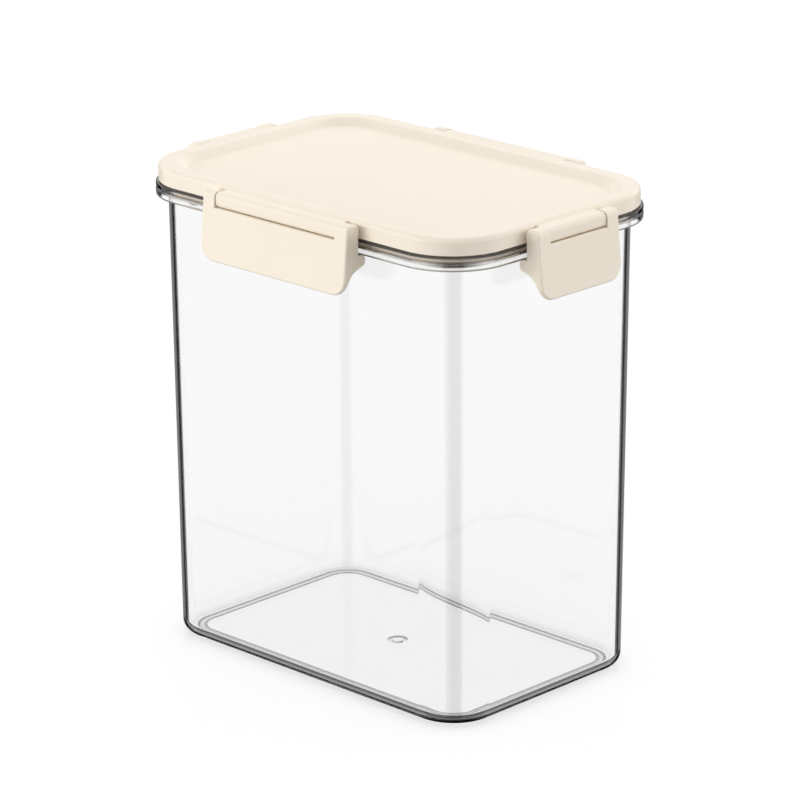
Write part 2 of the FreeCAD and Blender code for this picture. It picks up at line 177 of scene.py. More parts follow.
def blend_colours(tree: bpy.types.NodeTree, factor: bpy.types.NodeSocket, first: object,
                  second: object) -> bpy.types.NodeSocket:
    """Mix two colours.

    Args:
        tree: the tree that gets the node.
        factor: how much of the second colour shows.
        first: a colour or a socket.
        second: a colour or a socket.

    Returns:
        The mixed colour.
    """
    node = add_node(tree, "ShaderNodeMix", data_type="RGBA")
    feed(tree, node.inputs[0], factor)
    feed(tree, node.inputs[6], first)
    feed(tree, node.inputs[7], second)
    return node.outputs[2]


def mix_shaders(tree: bpy.types.NodeTree, factor: object, first: bpy.types.Node,
                second: bpy.types.Node) -> bpy.types.Node:
    """Mix two shaders.

    Args:
        tree: the tree that gets the node.
        factor: how much of the second shader shows.
        first: the first shader's node.
        second: the second shader's node.

    Returns:
        The mixing node.
    """
    node = add_node(tree, "ShaderNodeMixShader")
    feed(tree, node.inputs[0], factor)
    feed(tree, node.inputs[1], first.outputs[0])
    feed(tree, node.inputs[2], second.outputs[0])
    return node


def mirrored(tree: bpy.types.NodeTree, path: bpy.types.Node) -> bpy.types.NodeSocket:
    """Tell the paths that have been mirrored at least once, by 1, from the others."""
    return maths(tree, "GREATER_THAN", path.outputs["Glossy Depth"], 0.5)


def looked_at(tree: bpy.types.NodeTree, path: bpy.types.Node) -> bpy.types.NodeSocket:
    """Tell what is seen straight or through clear plastic, by 1, from the rest."""
    return maths(tree, "MAXIMUM", path.outputs["Is Camera Ray"], path.outputs["Is Transmission Ray"])


def new_material(name: str) -> tuple[bpy.types.Material, bpy.types.NodeTree]:
    """Make an empty node material.

    Args:
        name: the material's name.

    Returns:
        The material and its node tree.
    """
    material = bpy.data.materials.new(name)
    material.use_nodes = True
    material.node_tree.nodes.clear()
    return material, material.node_tree


def surface(tree: bpy.types.NodeTree, shader: bpy.types.Node) -> None:
    """Make a shader the material's surface."""
    feed(tree, add_node(tree, "ShaderNodeOutputMaterial").inputs["Surface"], shader.outputs[0])


def opaque(colour: Triple) -> Quad:
    """A colour with its full cover."""
    return *colour, 1.0


def grey(level: float) -> Quad:
    """A neutral colour of the given level."""
    return opaque((level, level, level))


# Plan outline and section of the mouldings

@dataclass(frozen=True)
class Plan:
    """The flange's rounded rectangle; other outlines lie inside it by an inset. Sizes in millimetres."""

    length: float = 163.2
    width: float = 110.8
    corner: float = 23.9
    corner_steps: int = 28
    side_steps: int = 4

    @property
    def centre_x(self) -> float:
        """How far the corners' centres lie from the middle along the length."""
        return self.length / 2 - self.corner

    @property
    def centre_y(self) -> float:
        """How far the corners' centres lie from the middle along the width."""
        return self.width / 2 - self.corner

    def normals(self) -> list[tuple[Vector, Vector]]:
        """Step round the outline.

        Returns:
            For each step the centre that it turns about and its level outward normal, anticlockwise from +X.
        """
        steps = []
        for quarter, (sign_x, sign_y) in enumerate([(1, 1), (-1, 1), (-1, -1), (1, -1)]):
            centre = Vector((sign_x * self.centre_x, sign_y * self.centre_y, 0))
            for step in range(self.corner_steps + 1):
                angle = math.pi / 2 * (quarter + step / self.corner_steps)
                normal = Vector((math.cos(angle), math.sin(angle), 0))
                steps.append((centre, normal))
            along = Vector((-normal.y, normal.x, 0))
            run = 2 * (self.centre_x if quarter % 2 == 0 else self.centre_y)
            for step in range(1, self.side_steps):
                steps.append((centre + along * run * step / self.side_steps, normal))
        return steps

    def ring(self, inset: float, height: float) -> list[Vector]:
        """Points of one outline.

        Args:
            inset: how far the outline lies inside the flange.
            height: its level.

        Returns:
            The points, one for each step of normals().
        """
        level = Vector((0, 0, height))
        return [centre + normal * (self.corner - inset) + level for centre, normal in self.normals()]

    def circle(self, radius: float, height: float) -> list[Vector]:
        """Points of a circle in the middle, in step with an outline.

        Args:
            radius: the circle's radius.
            height: its level.

        Returns:
            The points, one for each step of normals().
        """
        level = Vector((0, 0, height))
        return [point.normalized() * radius + level for point in self.ring(0.0, 0.0)]


@dataclass(frozen=True)
class Corner:
    """A corner of a section: how far in, how high and how round, in millimetres."""

    inset: float
    height: float
    radius: float = 0.0

    def point(self) -> Vector:
        """The corner as a flat vector."""
        return Vector((self.inset, self.height))


@dataclass(frozen=True)
class Stop:
    """A point of a section with the directions of travel before and after it."""

    place: Vector
    before: Vector
    after: Vector


def round_corner(before: Corner, corner: Corner, after: Corner, steps: int) -> list[Stop]:
    """Round one corner of a section.

    Args:
        before: the corner before it.
        corner: the corner itself.
        after: the corner after it.
        steps: how many chords the rounding has.

    Returns:
        The rounding's points.
    """
    tip = corner.point()
    into = (before.point() - tip).normalized()
    out = (after.point() - tip).normalized()
    if corner.radius == 0.0:
        return [Stop(tip, -into, out)]
    half = math.acos(max(-1.0, min(1.0, into.dot(out)))) / 2
    centre = tip + (into + out).normalized() * corner.radius / math.sin(half)
    start = tip + into * corner.radius / math.tan(half) - centre
    turn = math.pi - 2 * half
    if into.x * out.y - into.y * out.x > 0:
        turn = -turn
    stops = []
    for step in range(steps + 1):
        angle = turn * step / steps
        arm = Vector((start.x * math.cos(angle) - start.y * math.sin(angle),
                      start.x * math.sin(angle) + start.y * math.cos(angle)))
        travel = Vector((-arm.y, arm.x)).normalized() * math.copysign(1.0, turn)
        stops.append(Stop(centre + arm, travel, travel))
    return stops


def round_section(corners: Sequence[Corner], steps: int = 8) -> list[Stop]:
    """Round the inner corners of a section, leaving its two ends.

    Args:
        corners: the section's corners in order.
        steps: how many chords each rounding has.

    Returns:
        The section's points, the end points left out.
    """
    stops = []
    for before, corner, after in zip(corners, corners[1:], corners[2:]):
        stops += round_corner(before, corner, after, steps)
    return stops


def sweep_mesh(name: str, rings: Sequence[Sequence[Vector]], stops: Sequence[Stop],
               plan: Plan) -> bpy.types.Mesh:
    """Join rings into a closed mesh whose shading follows the section.

    Args:
        name: the mesh's name.
        rings: the rings in order, all with the same number of points, in millimetres.
        stops: the section's directions of travel at each ring.
        plan: the plan whose level normals the rings share.

    Returns:
        The mesh, in metres.
    """
    count = len(rings[0])
    level = [normal for centre, normal in plan.normals()]
    points = [point * MM for ring in rings for point in ring]
    first = len(points)
    for ring in (rings[0], rings[-1]):
        points.append(sum(ring, Vector((0, 0, 0))) / count * MM)
    faces = []
    normals = []

    def shade(side: int, travel: Vector) -> Vector:
        """Normal of the surface at one step of the plan."""
        return (level[side] * travel.y + Vector((0, 0, travel.x))).normalized()

    for row in range(len(rings) - 1):
        for side in range(count):
            after = (side + 1) % count
            low, high = row * count, (row + 1) * count
            faces.append((low + side, low + after, high + after, high + side))
            normals += [shade(side, stops[row].after), shade(after, stops[row].after),
                        shade(after, stops[row + 1].before), shade(side, stops[row + 1].before)]
    last = (len(rings) - 1) * count
    for side in range(count):
        after = (side + 1) % count
        faces.append((first, after, side))
        faces.append((first + 1, last + side, last + after))
        normals += [Vector((0, 0, -1))] * 3 + [Vector((0, 0, 1))] * 3
    mesh = bpy.data.meshes.new(name)
    mesh.from_pydata(points, [], faces)
    mesh.polygons.foreach_set("use_smooth", [True] * len(faces))
    mesh.normals_split_custom_set([tuple(normal) for normal in normals])
    mesh.validate()
    return mesh


# Clear body

@dataclass
class CanisterBody:
    """The clear moulding: base with its foot ring, drafted wall, double-bead flange and mouth.

    Sizes in millimetres. An inset is measured inwards from the flange's outline.
    """

    plan: Plan
    mouth_top: float = 176.6
    mouth_round: float = 0.5
    flange_top: float = 174.4
    flange_bottom: float = 169.3
    flange_plate: float = 2.1
    flange_lip: float = 1.9
    bead_groove: float = 0.6
    bead_round: float = 0.7
    overhang: float = 4.45
    draft: float = 1.9
    wall: float = 2.0
    base_round: float = 4.2
    foot_outer: float = 12.85
    foot_inner: float = 15.45
    foot_height: float = 0.55
    foot_round: float = 0.25
    floor_top: float = 2.6
    floor_round: float = 3.0
    gate_radius: float = 3.9
    nub_radius: float = 1.95
    gate_depth: float = 0.7

    def outside(self, height: float) -> float:
        """Inset of the wall's outer face at a height."""
        return self.overhang + self.draft * (1 - height / self.mouth_top)

    def underside(self) -> list[Corner]:
        """Draw the section under the base.

        Returns:
            Its corners, from the gate mark out to the foot of the wall.
        """
        return [
            Corner(self.plan.width / 2 - self.gate_radius, self.foot_height),
            Corner(self.foot_inner, self.foot_height, self.foot_round / 2),
            Corner(self.foot_inner, 0.0, self.foot_round),
            Corner(self.foot_outer, 0.0, self.foot_round),
            Corner(self.foot_outer, self.foot_height, self.foot_round / 2),
            Corner(self.outside(self.foot_height), self.foot_height, self.base_round),
        ]

    def rim(self) -> list[Corner]:
        """Draw the section of the flange and the mouth.

        Returns:
            Its corners, from the outside of the wall to the inside.
        """
        plate_bottom = self.flange_top - self.flange_plate
        return [
            Corner(self.outside(plate_bottom), plate_bottom),
            Corner(self.flange_lip, plate_bottom),
            Corner(self.flange_lip, self.flange_bottom, self.bead_round),
            Corner(0.0, self.flange_bottom, self.bead_round),
            Corner(0.0, plate_bottom - self.bead_groove, self.bead_round / 3),
            Corner(self.bead_groove, plate_bottom),
            Corner(0.0, plate_bottom + self.bead_groove, self.bead_round / 3),
            Corner(0.0, self.flange_top, self.bead_round),
            Corner(self.outside(self.flange_top), self.flange_top),
            Corner(self.outside(self.mouth_top), self.mouth_top, self.mouth_round),
            Corner(self.outside(self.mouth_top) + self.wall, self.mouth_top, self.mouth_round),
        ]

    def inside(self) -> list[Corner]:
        """Draw the section of the floor inside.

        Returns:
            Its corners, from the wall to the middle.
        """
        return [
            Corner(self.outside(self.floor_top) + self.wall, self.floor_top, self.floor_round),
            Corner(self.plan.width / 2 - self.gate_radius, self.floor_top),
        ]

    def mesh(self) -> bpy.types.Mesh:
        """Sweep the section round the plan and close it under and over the gate mark.

        Returns:
            The closed mesh in metres, with the section's own normals.
        """
        middle = Vector((0, 0))
        outward = Vector((-1, 0))
        upward = Vector((0, 1))
        gate_top = self.foot_height + self.gate_depth
        gate = [
            (self.nub_radius, self.foot_height, Stop(middle, outward, upward)),
            (self.nub_radius, gate_top, Stop(middle, upward, outward)),
            (self.gate_radius, gate_top, Stop(middle, outward, -upward)),
            (self.gate_radius, self.foot_height, Stop(middle, -upward, outward)),
        ]
        rings = [self.plan.circle(radius, height) for radius, height, stop in gate]
        stops = [stop for radius, height, stop in gate]
        section = round_section(self.underside() + self.rim() + self.inside())
        rings += [self.plan.ring(stop.place.x, stop.place.y) for stop in section]
        stops += section
        rings.append(self.plan.circle(self.gate_radius, self.floor_top))
        stops.append(Stop(middle, -outward, -outward))
        return sweep_mesh("canister_body_shell", rings, stops, self.plan)

    def build(self, material: bpy.types.Material) -> bpy.types.Object:
        """Make the body and let it stand for its solid.

        Args:
            material: the clear finish.

        Returns:
            The new piece.
        """
        mesh = self.mesh()
        mesh.materials.append(material)
        piece = bpy.data.objects.new("canister_body_shell", mesh)
        bpy.context.scene.collection.objects.link(piece)
        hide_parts("canister_body")
        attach(piece, "canister")
        return piece


# Finishes

# The middle part of a noise's values, which carries nearly all of its variation.
NOISE_SPAN = (0.3, 0.7)


def mould_grain() -> bpy.types.NodeTree:
    """Make, once, the surface that a plastic takes from its mould.

    Returns:
        A shader group with a fine Height and a broad Drift, both from 0 to 1.
    """
    name = "mould_grain"
    if name in bpy.data.node_groups:
        return bpy.data.node_groups[name]
    tree = bpy.data.node_groups.new(name, "ShaderNodeTree")
    sockets = (("Place", Kind.VECTOR), ("Grain Scale", Kind.VALUE), ("Drift Scale", Kind.VALUE))
    for socket, kind in sockets:
        tree.interface.new_socket(socket, in_out="INPUT", socket_type=kind.value)
    for socket in ("Height", "Drift"):
        tree.interface.new_socket(socket, in_out="OUTPUT", socket_type=Kind.VALUE.value)
    given = add_node(tree, "NodeGroupInput")
    result = add_node(tree, "NodeGroupOutput")
    for scale, detail, output in (("Grain Scale", 3.0, "Height"), ("Drift Scale", 1.0, "Drift")):
        noise = add_node(tree, "ShaderNodeTexNoise")
        noise.inputs["Detail"].default_value = detail
        feed(tree, noise.inputs["Vector"], given.outputs["Place"])
        feed(tree, noise.inputs["Scale"], given.outputs[scale])
        feed(tree, result.inputs[output], noise.outputs[0])
    return tree


def place_on_piece(tree: bpy.types.NodeTree) -> bpy.types.NodeSocket:
    """The place on the piece, in its own coordinates."""
    return add_node(tree, "ShaderNodeTexCoord").outputs["Object"]


def add_grain(tree: bpy.types.NodeTree, place: bpy.types.NodeSocket, grain: float,
              drift: float) -> bpy.types.Node:
    """Put the mould grain into a material.

    Args:
        tree: the material's tree.
        place: the place on the piece.
        grain: how many fine grains there are in a metre.
        drift: how many broad patches there are in a metre.

    Returns:
        The group's node.
    """
    group = add_node(tree, "ShaderNodeGroup", node_tree=mould_grain())
    feed(tree, group.inputs["Place"], place)
    feed(tree, group.inputs["Grain Scale"], grain)
    feed(tree, group.inputs["Drift Scale"], drift)
    return group


def bumped(tree: bpy.types.NodeTree, height: bpy.types.NodeSocket, depth: float) -> bpy.types.NodeSocket:
    """Turn a height into a bumped normal.

    Args:
        tree: the material's tree.
        height: the height, from 0 to 1.
        depth: how deep the bump is, in metres.

    Returns:
        The normal.
    """
    bump = add_node(tree, "ShaderNodeBump")
    bump.inputs["Strength"].default_value = 1.0
    bump.inputs["Distance"].default_value = depth
    feed(tree, bump.inputs["Height"], height)
    return bump.outputs[0]


@dataclass(frozen=True)
class Spot:
    """Where a point of the body lies, as sockets in metres."""

    height: bpy.types.NodeSocket
    reach: bpy.types.NodeSocket
    aside: bpy.types.NodeSocket
    radius: bpy.types.NodeSocket


def measure_spot(tree: bpy.types.NodeTree, place: bpy.types.NodeSocket, plan: Plan) -> Spot:
    """Measure where a point of the body lies.

    Args:
        tree: the material's tree.
        place: the place on the piece.
        plan: the outline that the piece follows.

    Returns:
        Its height, its reach out from the corners' centres, how far it lies aside of the middle of its
        corner, and its distance from the upright axis.
    """
    split = add_node(tree, "ShaderNodeSeparateXYZ")
    feed(tree, split.inputs[0], place)
    x, y, height = split.outputs
    along = maths(tree, "SUBTRACT", maths(tree, "ABSOLUTE", x), plan.centre_x * MM)
    across = maths(tree, "SUBTRACT", maths(tree, "ABSOLUTE", y), plan.centre_y * MM)
    reach = distance(tree, maths(tree, "MAXIMUM", along, 0.0), maths(tree, "MAXIMUM", across, 0.0))
    return Spot(height, reach, apart(tree, along, across), distance(tree, x, y))


@dataclass(frozen=True)
class ClearPlastic:
    """Polished clear moulding with a grey gate mark, and painted shade and reflections at its corners, flange
    and foot.

    Levels are heights, and reaches run out from the corners' centres, both in millimetres.
    """

    name: str = "clear_moulding"
    colour: Triple = (0.955, 0.956, 0.957)
    refraction: float = 1.53
    roughness: Span = (0.004, 0.012)
    grain_scale: float = 900.0
    drift_scale: float = 14.0
    drift_depth: float = 0.00004
    wall_reach: Span = (12.5, 14.0)
    wall_shade: float = 0.97
    foot_levels: Span = (1.0, 6.0)
    foot_shade: float = 0.35
    # Painted reflection: a dark streak down the middle of each upright corner, below the flange.
    corner_shade_colour: Triple = (0.86, 0.862, 0.864)
    corner_shade_spread: Span = (1.0, 4.5)
    corner_shade_levels: Span = (168.6, 169.2)
    # Painted shade on the flange lies out past this reach.
    flange_shade_reach: Span = (20.4, 20.9)
    # Painted shade, brownish grey, over the flange's upper bead.
    bead_shade_colour: Triple = (0.58, 0.55, 0.51)
    bead_shade_levels: Span = (171.0, 171.8)
    # Painted shadow, near black, just under the lid's skirt.
    gap_shade_colour: Triple = (0.04, 0.04, 0.04)
    gap_shade_levels: Span = (173.6, 174.0)
    # Painted dark band across the flange by its corners.
    band_shade_colour: Triple = (0.1, 0.095, 0.09)
    band_shade_levels: Quad = (170.5, 171.1, 172.6, 173.2)
    band_shade_spread: Span = (2.0, 17.0)
    # Painted dark line at the flange's lower edge.
    lip_shade_colour: Triple = (0.2, 0.2, 0.2)
    lip_shade_levels: Span = (169.5, 169.9)
    gate_colour: Triple = (0.7, 0.7, 0.7)
    gate_radii: Quad = (1.7, 2.2, 3.4, 4.1)
    # Painted contact shade, grey, where the foot ring touches the floor.
    contact_shade_colour: Triple = (0.45, 0.45, 0.455)
    contact_shade_level: float = 0.1
    # Painted shade lines along both edges of the foot ring.
    ring_shade_colour: Triple = (0.08, 0.08, 0.08)
    ring_shade_level: float = 0.6
    ring_shade_line: Span = (0.5, 0.8)

    def masks(self, tree: bpy.types.NodeTree, spot: Spot,
              body: CanisterBody) -> dict[str, bpy.types.NodeSocket]:
        """Find where the wall gets painted shade and reflections, a darker cast shadow at its foot, and its
        gate mark.

        Args:
            tree: the material's tree.
            spot: where the point lies.
            body: the moulding that has the features.

        Returns:
            Masks by name, each 1 where its feature is.
        """
        def rises(value: bpy.types.NodeSocket, span: Span) -> bpy.types.NodeSocket:
            """A soft step up over a span in millimetres."""
            return remap(tree, value, [size * MM for size in span])

        def falls(value: bpy.types.NodeSocket, span: Span) -> bpy.types.NodeSocket:
            """A soft step down over a span in millimetres."""
            return remap(tree, value, [size * MM for size in span], (1.0, 0.0))

        def between(value: bpy.types.NodeSocket, steps: Quad) -> bpy.types.NodeSocket:
            """A soft step up and then down again."""
            return product(tree, rises(value, steps[:2]), falls(value, steps[2:]))

        def under(level: float) -> bpy.types.NodeSocket:
            """Whether the point lies under a level."""
            return maths(tree, "LESS_THAN", spot.height, level * MM)

        wall = rises(spot.reach, self.wall_reach)
        flange = rises(spot.reach, self.flange_shade_reach)
        edges = [body.plan.corner - inset for inset in (body.foot_outer, body.foot_inner)]
        lines = [falls(apart(tree, spot.reach, edge * MM), self.ring_shade_line) for edge in edges]
        # Apart from foot and gate, each mask places painted shade or a painted reflection.
        return {
            "foot": product(tree, falls(spot.height, self.foot_levels), wall),
            # Painted reflection streak at the corners.
            "corner": product(tree, falls(spot.aside, self.corner_shade_spread),
                              falls(spot.height, self.corner_shade_levels), wall),
            # Painted shade on the flange: bead, gap under the skirt, dark band and lower edge.
            "bead": product(tree, rises(spot.height, self.bead_shade_levels), flange),
            "gap_shade": product(tree, rises(spot.height, self.gap_shade_levels), flange),
            "shade_band": product(tree, between(spot.height, self.band_shade_levels),
                            falls(spot.aside, self.band_shade_spread), flange),
            "lip": product(tree, falls(spot.height, self.lip_shade_levels), flange),
            "gate": between(spot.radius, self.gate_radii),
            # Painted shade on the foot ring: contact shade and lines along its edges.
            "contact_shade": under(self.contact_shade_level),
            "ring": product(tree, maths(tree, "MAXIMUM", *lines), under(self.ring_shade_level)),
        }

    def tints_and_painted_shades(self) -> dict[str, Triple]:
        """Gather the colours of the painted shade and reflections, and of the gate mark.

        Returns:
            The colours by mask name, those on top last.
        """
        return {"corner": self.corner_shade_colour, "bead": self.bead_shade_colour, "gap_shade": self.gap_shade_colour,
                "shade_band": self.band_shade_colour, "lip": self.lip_shade_colour, "gate": self.gate_colour,
                "contact_shade": self.contact_shade_colour, "ring": self.ring_shade_colour}

    def material(self, body: CanisterBody) -> bpy.types.Material:
        """Build the clear plastic, which lets lamp light straight through.

        Args:
            body: the moulding that gets the finish.

        Returns:
            The material.
        """
        material, tree = new_material(self.name)
        place = place_on_piece(tree)
        grain = add_grain(tree, place, self.grain_scale, self.drift_scale).outputs
        masks = self.masks(tree, measure_spot(tree, place, body.plan), body)
        # The tints darken the base colour with painted shade and reflections; only the gate mark's grey is
        # the moulding's own.
        tint = opaque(self.colour)
        for name, colour in self.tints_and_painted_shades().items():
            tint = blend_colours(tree, masks[name], tint, opaque(colour))
        plastic = add_node(tree, "ShaderNodeBsdfPrincipled")
        plastic.inputs["Transmission Weight"].default_value = 1.0
        plastic.inputs["IOR"].default_value = self.refraction
        feed(tree, plastic.inputs["Base Color"], tint)
        feed(tree, plastic.inputs["Roughness"], remap(tree, grain["Height"], NOISE_SPAN, self.roughness))
        feed(tree, plastic.inputs["Normal"], bumped(tree, grain["Drift"], self.drift_depth))
        through = add_node(tree, "ShaderNodeBsdfTransparent")
        shade = blend_colours(tree, masks["foot"], grey(self.wall_shade), grey(self.foot_shade))
        feed(tree, through.inputs["Color"], shade)
        path = add_node(tree, "ShaderNodeLightPath").outputs
        soft = maths(tree, "MAXIMUM", path["Is Shadow Ray"], path["Is Diffuse Ray"])
        surface(tree, mix_shaders(tree, soft, plastic, through))
        return material


@dataclass(frozen=True)
class SatinPlastic:
    """Satin moulding with a fine grain and a faint drift of colour, stiff or soft. Depths in metres."""

    name: str
    colour: Triple
    deep_colour: Triple
    roughness: Span
    grain_depth: float
    gloss: float
    glow: float
    glow_spread: Triple = (1.0, 0.7, 0.45)
    glow_depth: float = 0.002
    grain_scale: float = 1800.0
    drift_scale: float = 30.0

    def material(self) -> bpy.types.Material:
        """Build the satin plastic.

        Returns:
            The material.
        """
        material, tree = new_material(self.name)
        grain = add_grain(tree, place_on_piece(tree), self.grain_scale, self.drift_scale).outputs
        plastic = add_node(tree, "ShaderNodeBsdfPrincipled")
        plastic.inputs["Specular IOR Level"].default_value = self.gloss
        plastic.inputs["Subsurface Weight"].default_value = self.glow
        plastic.inputs["Subsurface Radius"].default_value = self.glow_spread
        plastic.inputs["Subsurface Scale"].default_value = self.glow_depth
        drift = remap(tree, grain["Drift"], NOISE_SPAN)
        tint = blend_colours(tree, drift, opaque(self.colour), opaque(self.deep_colour))
        feed(tree, plastic.inputs["Base Color"], tint)
        feed(tree, plastic.inputs["Roughness"], remap(tree, grain["Height"], NOISE_SPAN, self.roughness))
        feed(tree, plastic.inputs["Normal"], bumped(tree, grain["Height"], self.grain_depth))
        surface(tree, plastic)
        return material


CREAM = SatinPlastic(
    name="cream_moulding", colour=(0.935, 0.843, 0.715), deep_colour=(0.925, 0.83, 0.695),
    roughness=(0.28, 0.38), grain_depth=0.00001, gloss=0.75, glow=0.0)
SILICONE = SatinPlastic(
    name="soft_moulding", colour=(0.86, 0.85, 0.82), deep_colour=(0.83, 0.82, 0.79),
    roughness=(0.45, 0.6), grain_depth=0.00003, gloss=0.5, glow=0.3)


# Soft seal

def swept_bar() -> bpy.types.NodeTree:
    """Make the rule for a rounded bar that follows the plan's outline.

    Returns:
        A geometry group with the plan's sizes and the bar's insets, levels and rounding as inputs, in metres.
    """
    tree = bpy.data.node_groups.new("swept_bar", "GeometryNodeTree")
    for socket in ("Length", "Width", "Corner", "Outer", "Inner", "Bottom", "Top", "Round"):
        tree.interface.new_socket(socket, in_out="INPUT", socket_type=Kind.VALUE.value)
    for socket in ("Corner Steps", "Round Steps"):
        tree.interface.new_socket(socket, in_out="INPUT", socket_type=Kind.COUNT.value)
    tree.interface.new_socket("Bar", in_out="OUTPUT", socket_type=Kind.GEOMETRY.value)
    given = add_node(tree, "NodeGroupInput").outputs
    result = add_node(tree, "NodeGroupOutput")

    def less(first: str, second: object) -> bpy.types.NodeSocket:
        """An input less another value."""
        return maths(tree, "SUBTRACT", given[first], second)

    def rounded(width: object, height: object, radius: object, steps: object) -> bpy.types.NodeSocket:
        """Draw a rounded rectangle.

        Args:
            width: its size along X.
            height: its size along Y.
            radius: how round its corners are.
            steps: how many chords each rounding has.

        Returns:
            The closed curve.
        """
        sides = add_node(tree, "GeometryNodeCurvePrimitiveQuadrilateral")
        fillet = add_node(tree, "GeometryNodeFilletCurve", mode="POLY")
        feed(tree, sides.inputs["Width"], width)
        feed(tree, sides.inputs["Height"], height)
        feed(tree, fillet.inputs["Curve"], sides.outputs[0])
        feed(tree, fillet.inputs["Radius"], radius)
        feed(tree, fillet.inputs["Count"], steps)
        return fillet.outputs[0]

    twice = maths(tree, "ADD", given["Outer"], given["Inner"])
    middle = maths(tree, "DIVIDE", twice, 2.0)
    path = rounded(less("Length", twice), less("Width", twice), less("Corner", middle), given["Corner Steps"])
    section = rounded(less("Inner", given["Outer"]), less("Top", given["Bottom"]), given["Round"],
                      given["Round Steps"])
    sweep = add_node(tree, "GeometryNodeCurveToMesh")
    feed(tree, sweep.inputs["Curve"], path)
    feed(tree, sweep.inputs["Profile Curve"], section)
    level = add_node(tree, "ShaderNodeCombineXYZ")
    levels = maths(tree, "ADD", given["Bottom"], given["Top"])
    feed(tree, level.inputs["Z"], maths(tree, "DIVIDE", levels, 2.0))
    lift = add_node(tree, "GeometryNodeTransform")
    feed(tree, lift.inputs["Geometry"], sweep.outputs[0])
    feed(tree, lift.inputs["Translation"], level.outputs[0])
    feed(tree, result.inputs["Bar"], lift.outputs[0])
    return tree


@dataclass(frozen=True)
class Bar:
    """A bar of the seal: its outer and inner inset and its bottom and top, in millimetres."""

    outer: float
    inner: float
    bottom: float
    top: float

    def sizes(self) -> dict[str, float]:
        """The bar's sizes in metres, by input name."""
        sizes = {"Outer": self.outer, "Inner": self.inner, "Bottom": self.bottom, "Top": self.top}
        return {name: size * MM for name, size in sizes.items()}


@dataclass
class SealRing:
    """The soft ring in the lid's channel: a block with a wiping lip under its outer edge.

    Sizes in millimetres, the crease in degrees.
    """

    plan: Plan
    block: Bar = Bar(3.15, 6.75, 176.6, 179.0)
    lip: Bar = Bar(3.2, 4.05, 175.6, 177.6)
    edge_round: float = 0.35
    edge_steps: int = 5
    crease: float = 40.0

    def bars(self) -> dict[str, Bar]:
        """The bars that make up the ring, by name."""
        return {"Block": self.block, "Lip": self.lip}

    def shared_sizes(self) -> dict[str, float | int]:
        """Gather the sizes that all bars share.

        Returns:
            The sizes by input name, with lengths in metres.
        """
        lengths = {"Length": self.plan.length, "Width": self.plan.width, "Corner": self.plan.corner,
                   "Round": self.edge_round}
        steps = {"Corner Steps": self.plan.corner_steps, "Round Steps": self.edge_steps}
        return {**{name: size * MM for name, size in lengths.items()}, **steps}

    def values(self, material: bpy.types.Material) -> dict[str, object]:
        """Gather what the tree's inputs are set to.

        Args:
            material: the soft finish.

        Returns:
            The values by input name.
        """
        values = {**self.shared_sizes(), "Finish": material}
        for part, bar in self.bars().items():
            values.update({f"{part} {name}": size for name, size in bar.sizes().items()})
        return values

    def tree(self) -> bpy.types.NodeTree:
        """Build the tree that joins the bars.

        Returns:
            A geometry group whose inputs are the plan's sizes, each bar's sizes and the finish.
        """
        tree = bpy.data.node_groups.new("seal_ring", "GeometryNodeTree")
        for name, size in self.shared_sizes().items():
            kind = Kind.COUNT if isinstance(size, int) else Kind.VALUE
            tree.interface.new_socket(name, in_out="INPUT", socket_type=kind.value)
        tree.interface.new_socket("Finish", in_out="INPUT", socket_type=Kind.MATERIAL.value)
        tree.interface.new_socket("Seal", in_out="OUTPUT", socket_type=Kind.GEOMETRY.value)
        rule = swept_bar()
        union = add_node(tree, "GeometryNodeMeshBoolean", operation="UNION", solver="EXACT")
        given = add_node(tree, "NodeGroupInput")
        for part, bar in self.bars().items():
            group = add_node(tree, "GeometryNodeGroup", node_tree=rule)
            for size in bar.sizes():
                name = f"{part} {size}"
                tree.interface.new_socket(name, in_out="INPUT", socket_type=Kind.VALUE.value)
                feed(tree, group.inputs[size], given.outputs[name])
            for name in self.shared_sizes():
                feed(tree, group.inputs[name], given.outputs[name])
            feed(tree, union.inputs["Mesh 2"], group.outputs[0])
        real = add_node(tree, "GeometryNodeRealizeInstances")
        feed(tree, real.inputs[0], union.outputs[0])
        paint = add_node(tree, "GeometryNodeSetMaterial")
        feed(tree, paint.inputs["Geometry"], real.outputs[0])
        feed(tree, paint.inputs["Material"], given.outputs["Finish"])
        feed(tree, add_node(tree, "NodeGroupOutput").inputs["Seal"], paint.outputs[0])
        return tree

    def build(self, material: bpy.types.Material) -> bpy.types.Object:
        """Make the ring and let it stand for its solid.

        Args:
            material: the soft finish.

        Returns:
            The new piece.
        """
        tree = self.tree()
        piece = bpy.data.objects.new("seal_ring", bpy.data.meshes.new("seal_ring"))
        bpy.context.scene.collection.objects.link(piece)
        modifier = piece.modifiers.new("seal_ring", "NODES")
        modifier.node_group = tree
        values = self.values(material)
        for item in tree.interface.items_tree:
            if item.in_out == "INPUT":
                modifier[item.identifier] = values[item.name]
        seen = piece.evaluated_get(bpy.context.evaluated_depsgraph_get())
        mesh = bpy.data.meshes.new_from_object(seen)
        piece.modifiers.remove(modifier)
        mesh.polygons.foreach_set("use_smooth", [True] * len(mesh.polygons))
        mesh.set_sharp_from_angle(angle=math.radians(self.crease))
        piece.data = mesh
        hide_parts("seal_gasket")
        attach(piece, "lid")
        return piece


# Cream lid and latches

def dress(name: str, material: bpy.types.Material) -> bpy.types.Object:
    """Give a solid that has its right shape a finish.

    Args:
        name: the solid's name.
        material: its finish.

    Returns:
        The solid.
    """
    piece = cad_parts[name]
    piece.data.materials.clear()
    piece.data.materials.append(material)
    return piece


class Side(Enum):
    """The four sides of the lid that carry a latch."""

    FRONT = "latch_front"
    BACK = "latch_back"
    LEFT = "latch_left"
    RIGHT = "latch_right"


